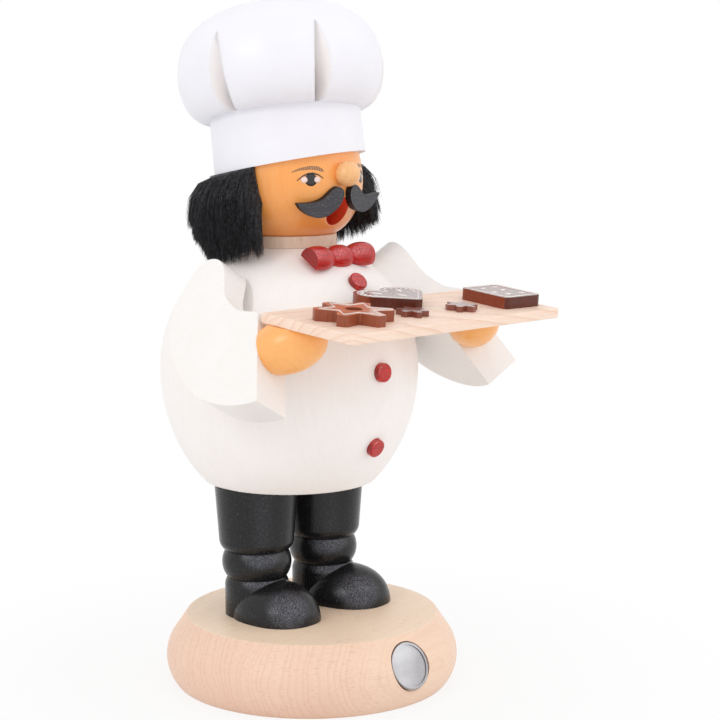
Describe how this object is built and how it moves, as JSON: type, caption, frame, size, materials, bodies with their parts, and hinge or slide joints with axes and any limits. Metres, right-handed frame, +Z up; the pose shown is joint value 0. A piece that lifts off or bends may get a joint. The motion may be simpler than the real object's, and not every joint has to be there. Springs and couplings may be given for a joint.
{
  "type": "incense smoker figure",
  "caption": "Turned wooden incense smoker shaped as a baker with a tray of gingerbread; the hollow body lifts off its legs to load a cone, and smoke leaves by the mouth.",
  "frame": {"origin": "middle of the base's underside, on the surface it stands on", "axes": "+Z up, the figure faces -Y, its left hand is on the +X side"},
  "size_m": [0.1068, 0.1063, 0.1988],
  "materials": {
    "beech": "clear matt on bare beech",
    "pewter": "dull cast metal",
    "boot": "satin charcoal stain",
    "dish_metal": "bare pressed sheet",
    "jacket": "satin cream white stain with the grain showing",
    "skin": "satin orange stain",
    "nose": "satin light orange stain",
    "moustache": "dark grey stain with black edges",
    "hat": "gloss white lacquer",
    "hair": "black plush fur",
    "tray": "clear matt on pale pine",
    "biscuit_star": "orange brown stain with white painted lines",
    "biscuit": "brown stain with white painted dots and dashes",
    "small_star": "brown stain",
    "red_stain": "satin red stain with the grain showing"
  },
  "bodies": {
    "stand": {"base": "beech", "base_medallion": "pewter", "right_leg": "boot", "left_leg": "boot", "right_toe_cap": "boot", "left_toe_cap": "boot", "right_foot_dowel": "beech", "left_foot_dowel": "beech", "right_top_dowel": "beech", "left_top_dowel": "beech", "waist_plug": "beech", "incense_dish": "dish_metal", "dish_tack": "dish_metal"},
    "torso": {"belly_shell": "jacket", "neck_collar": "beech", "head": "skin", "nose": "nose", "right_moustache": "moustache", "left_moustache": "moustache", "hat_band": "hat", "hat_crown": "hat", "hat_dowel": "beech", "hair": "hair", "right_sleeve": "jacket", "left_sleeve": "jacket", "right_sleeve_dowel": "beech", "left_sleeve_dowel": "beech", "right_hand": "skin", "left_hand": "skin", "right_hand_dowel": "beech", "left_hand_dowel": "beech", "tray": "tray", "gingerbread_star": "biscuit_star", "gingerbread_heart": "biscuit", "gingerbread_slab": "biscuit", "small_star_1": "small_star", "small_star_2": "small_star", "bow_tie": "red_stain", "button_upper": "red_stain", "button_middle": "red_stain", "button_lower": "red_stain"}
  },
  "joints": [
    {"name": "torso_lift", "type": "slide", "parent": "stand", "child": "torso", "axis": [0, 0, 1], "range_m": [0, 0.05]}
  ]
}
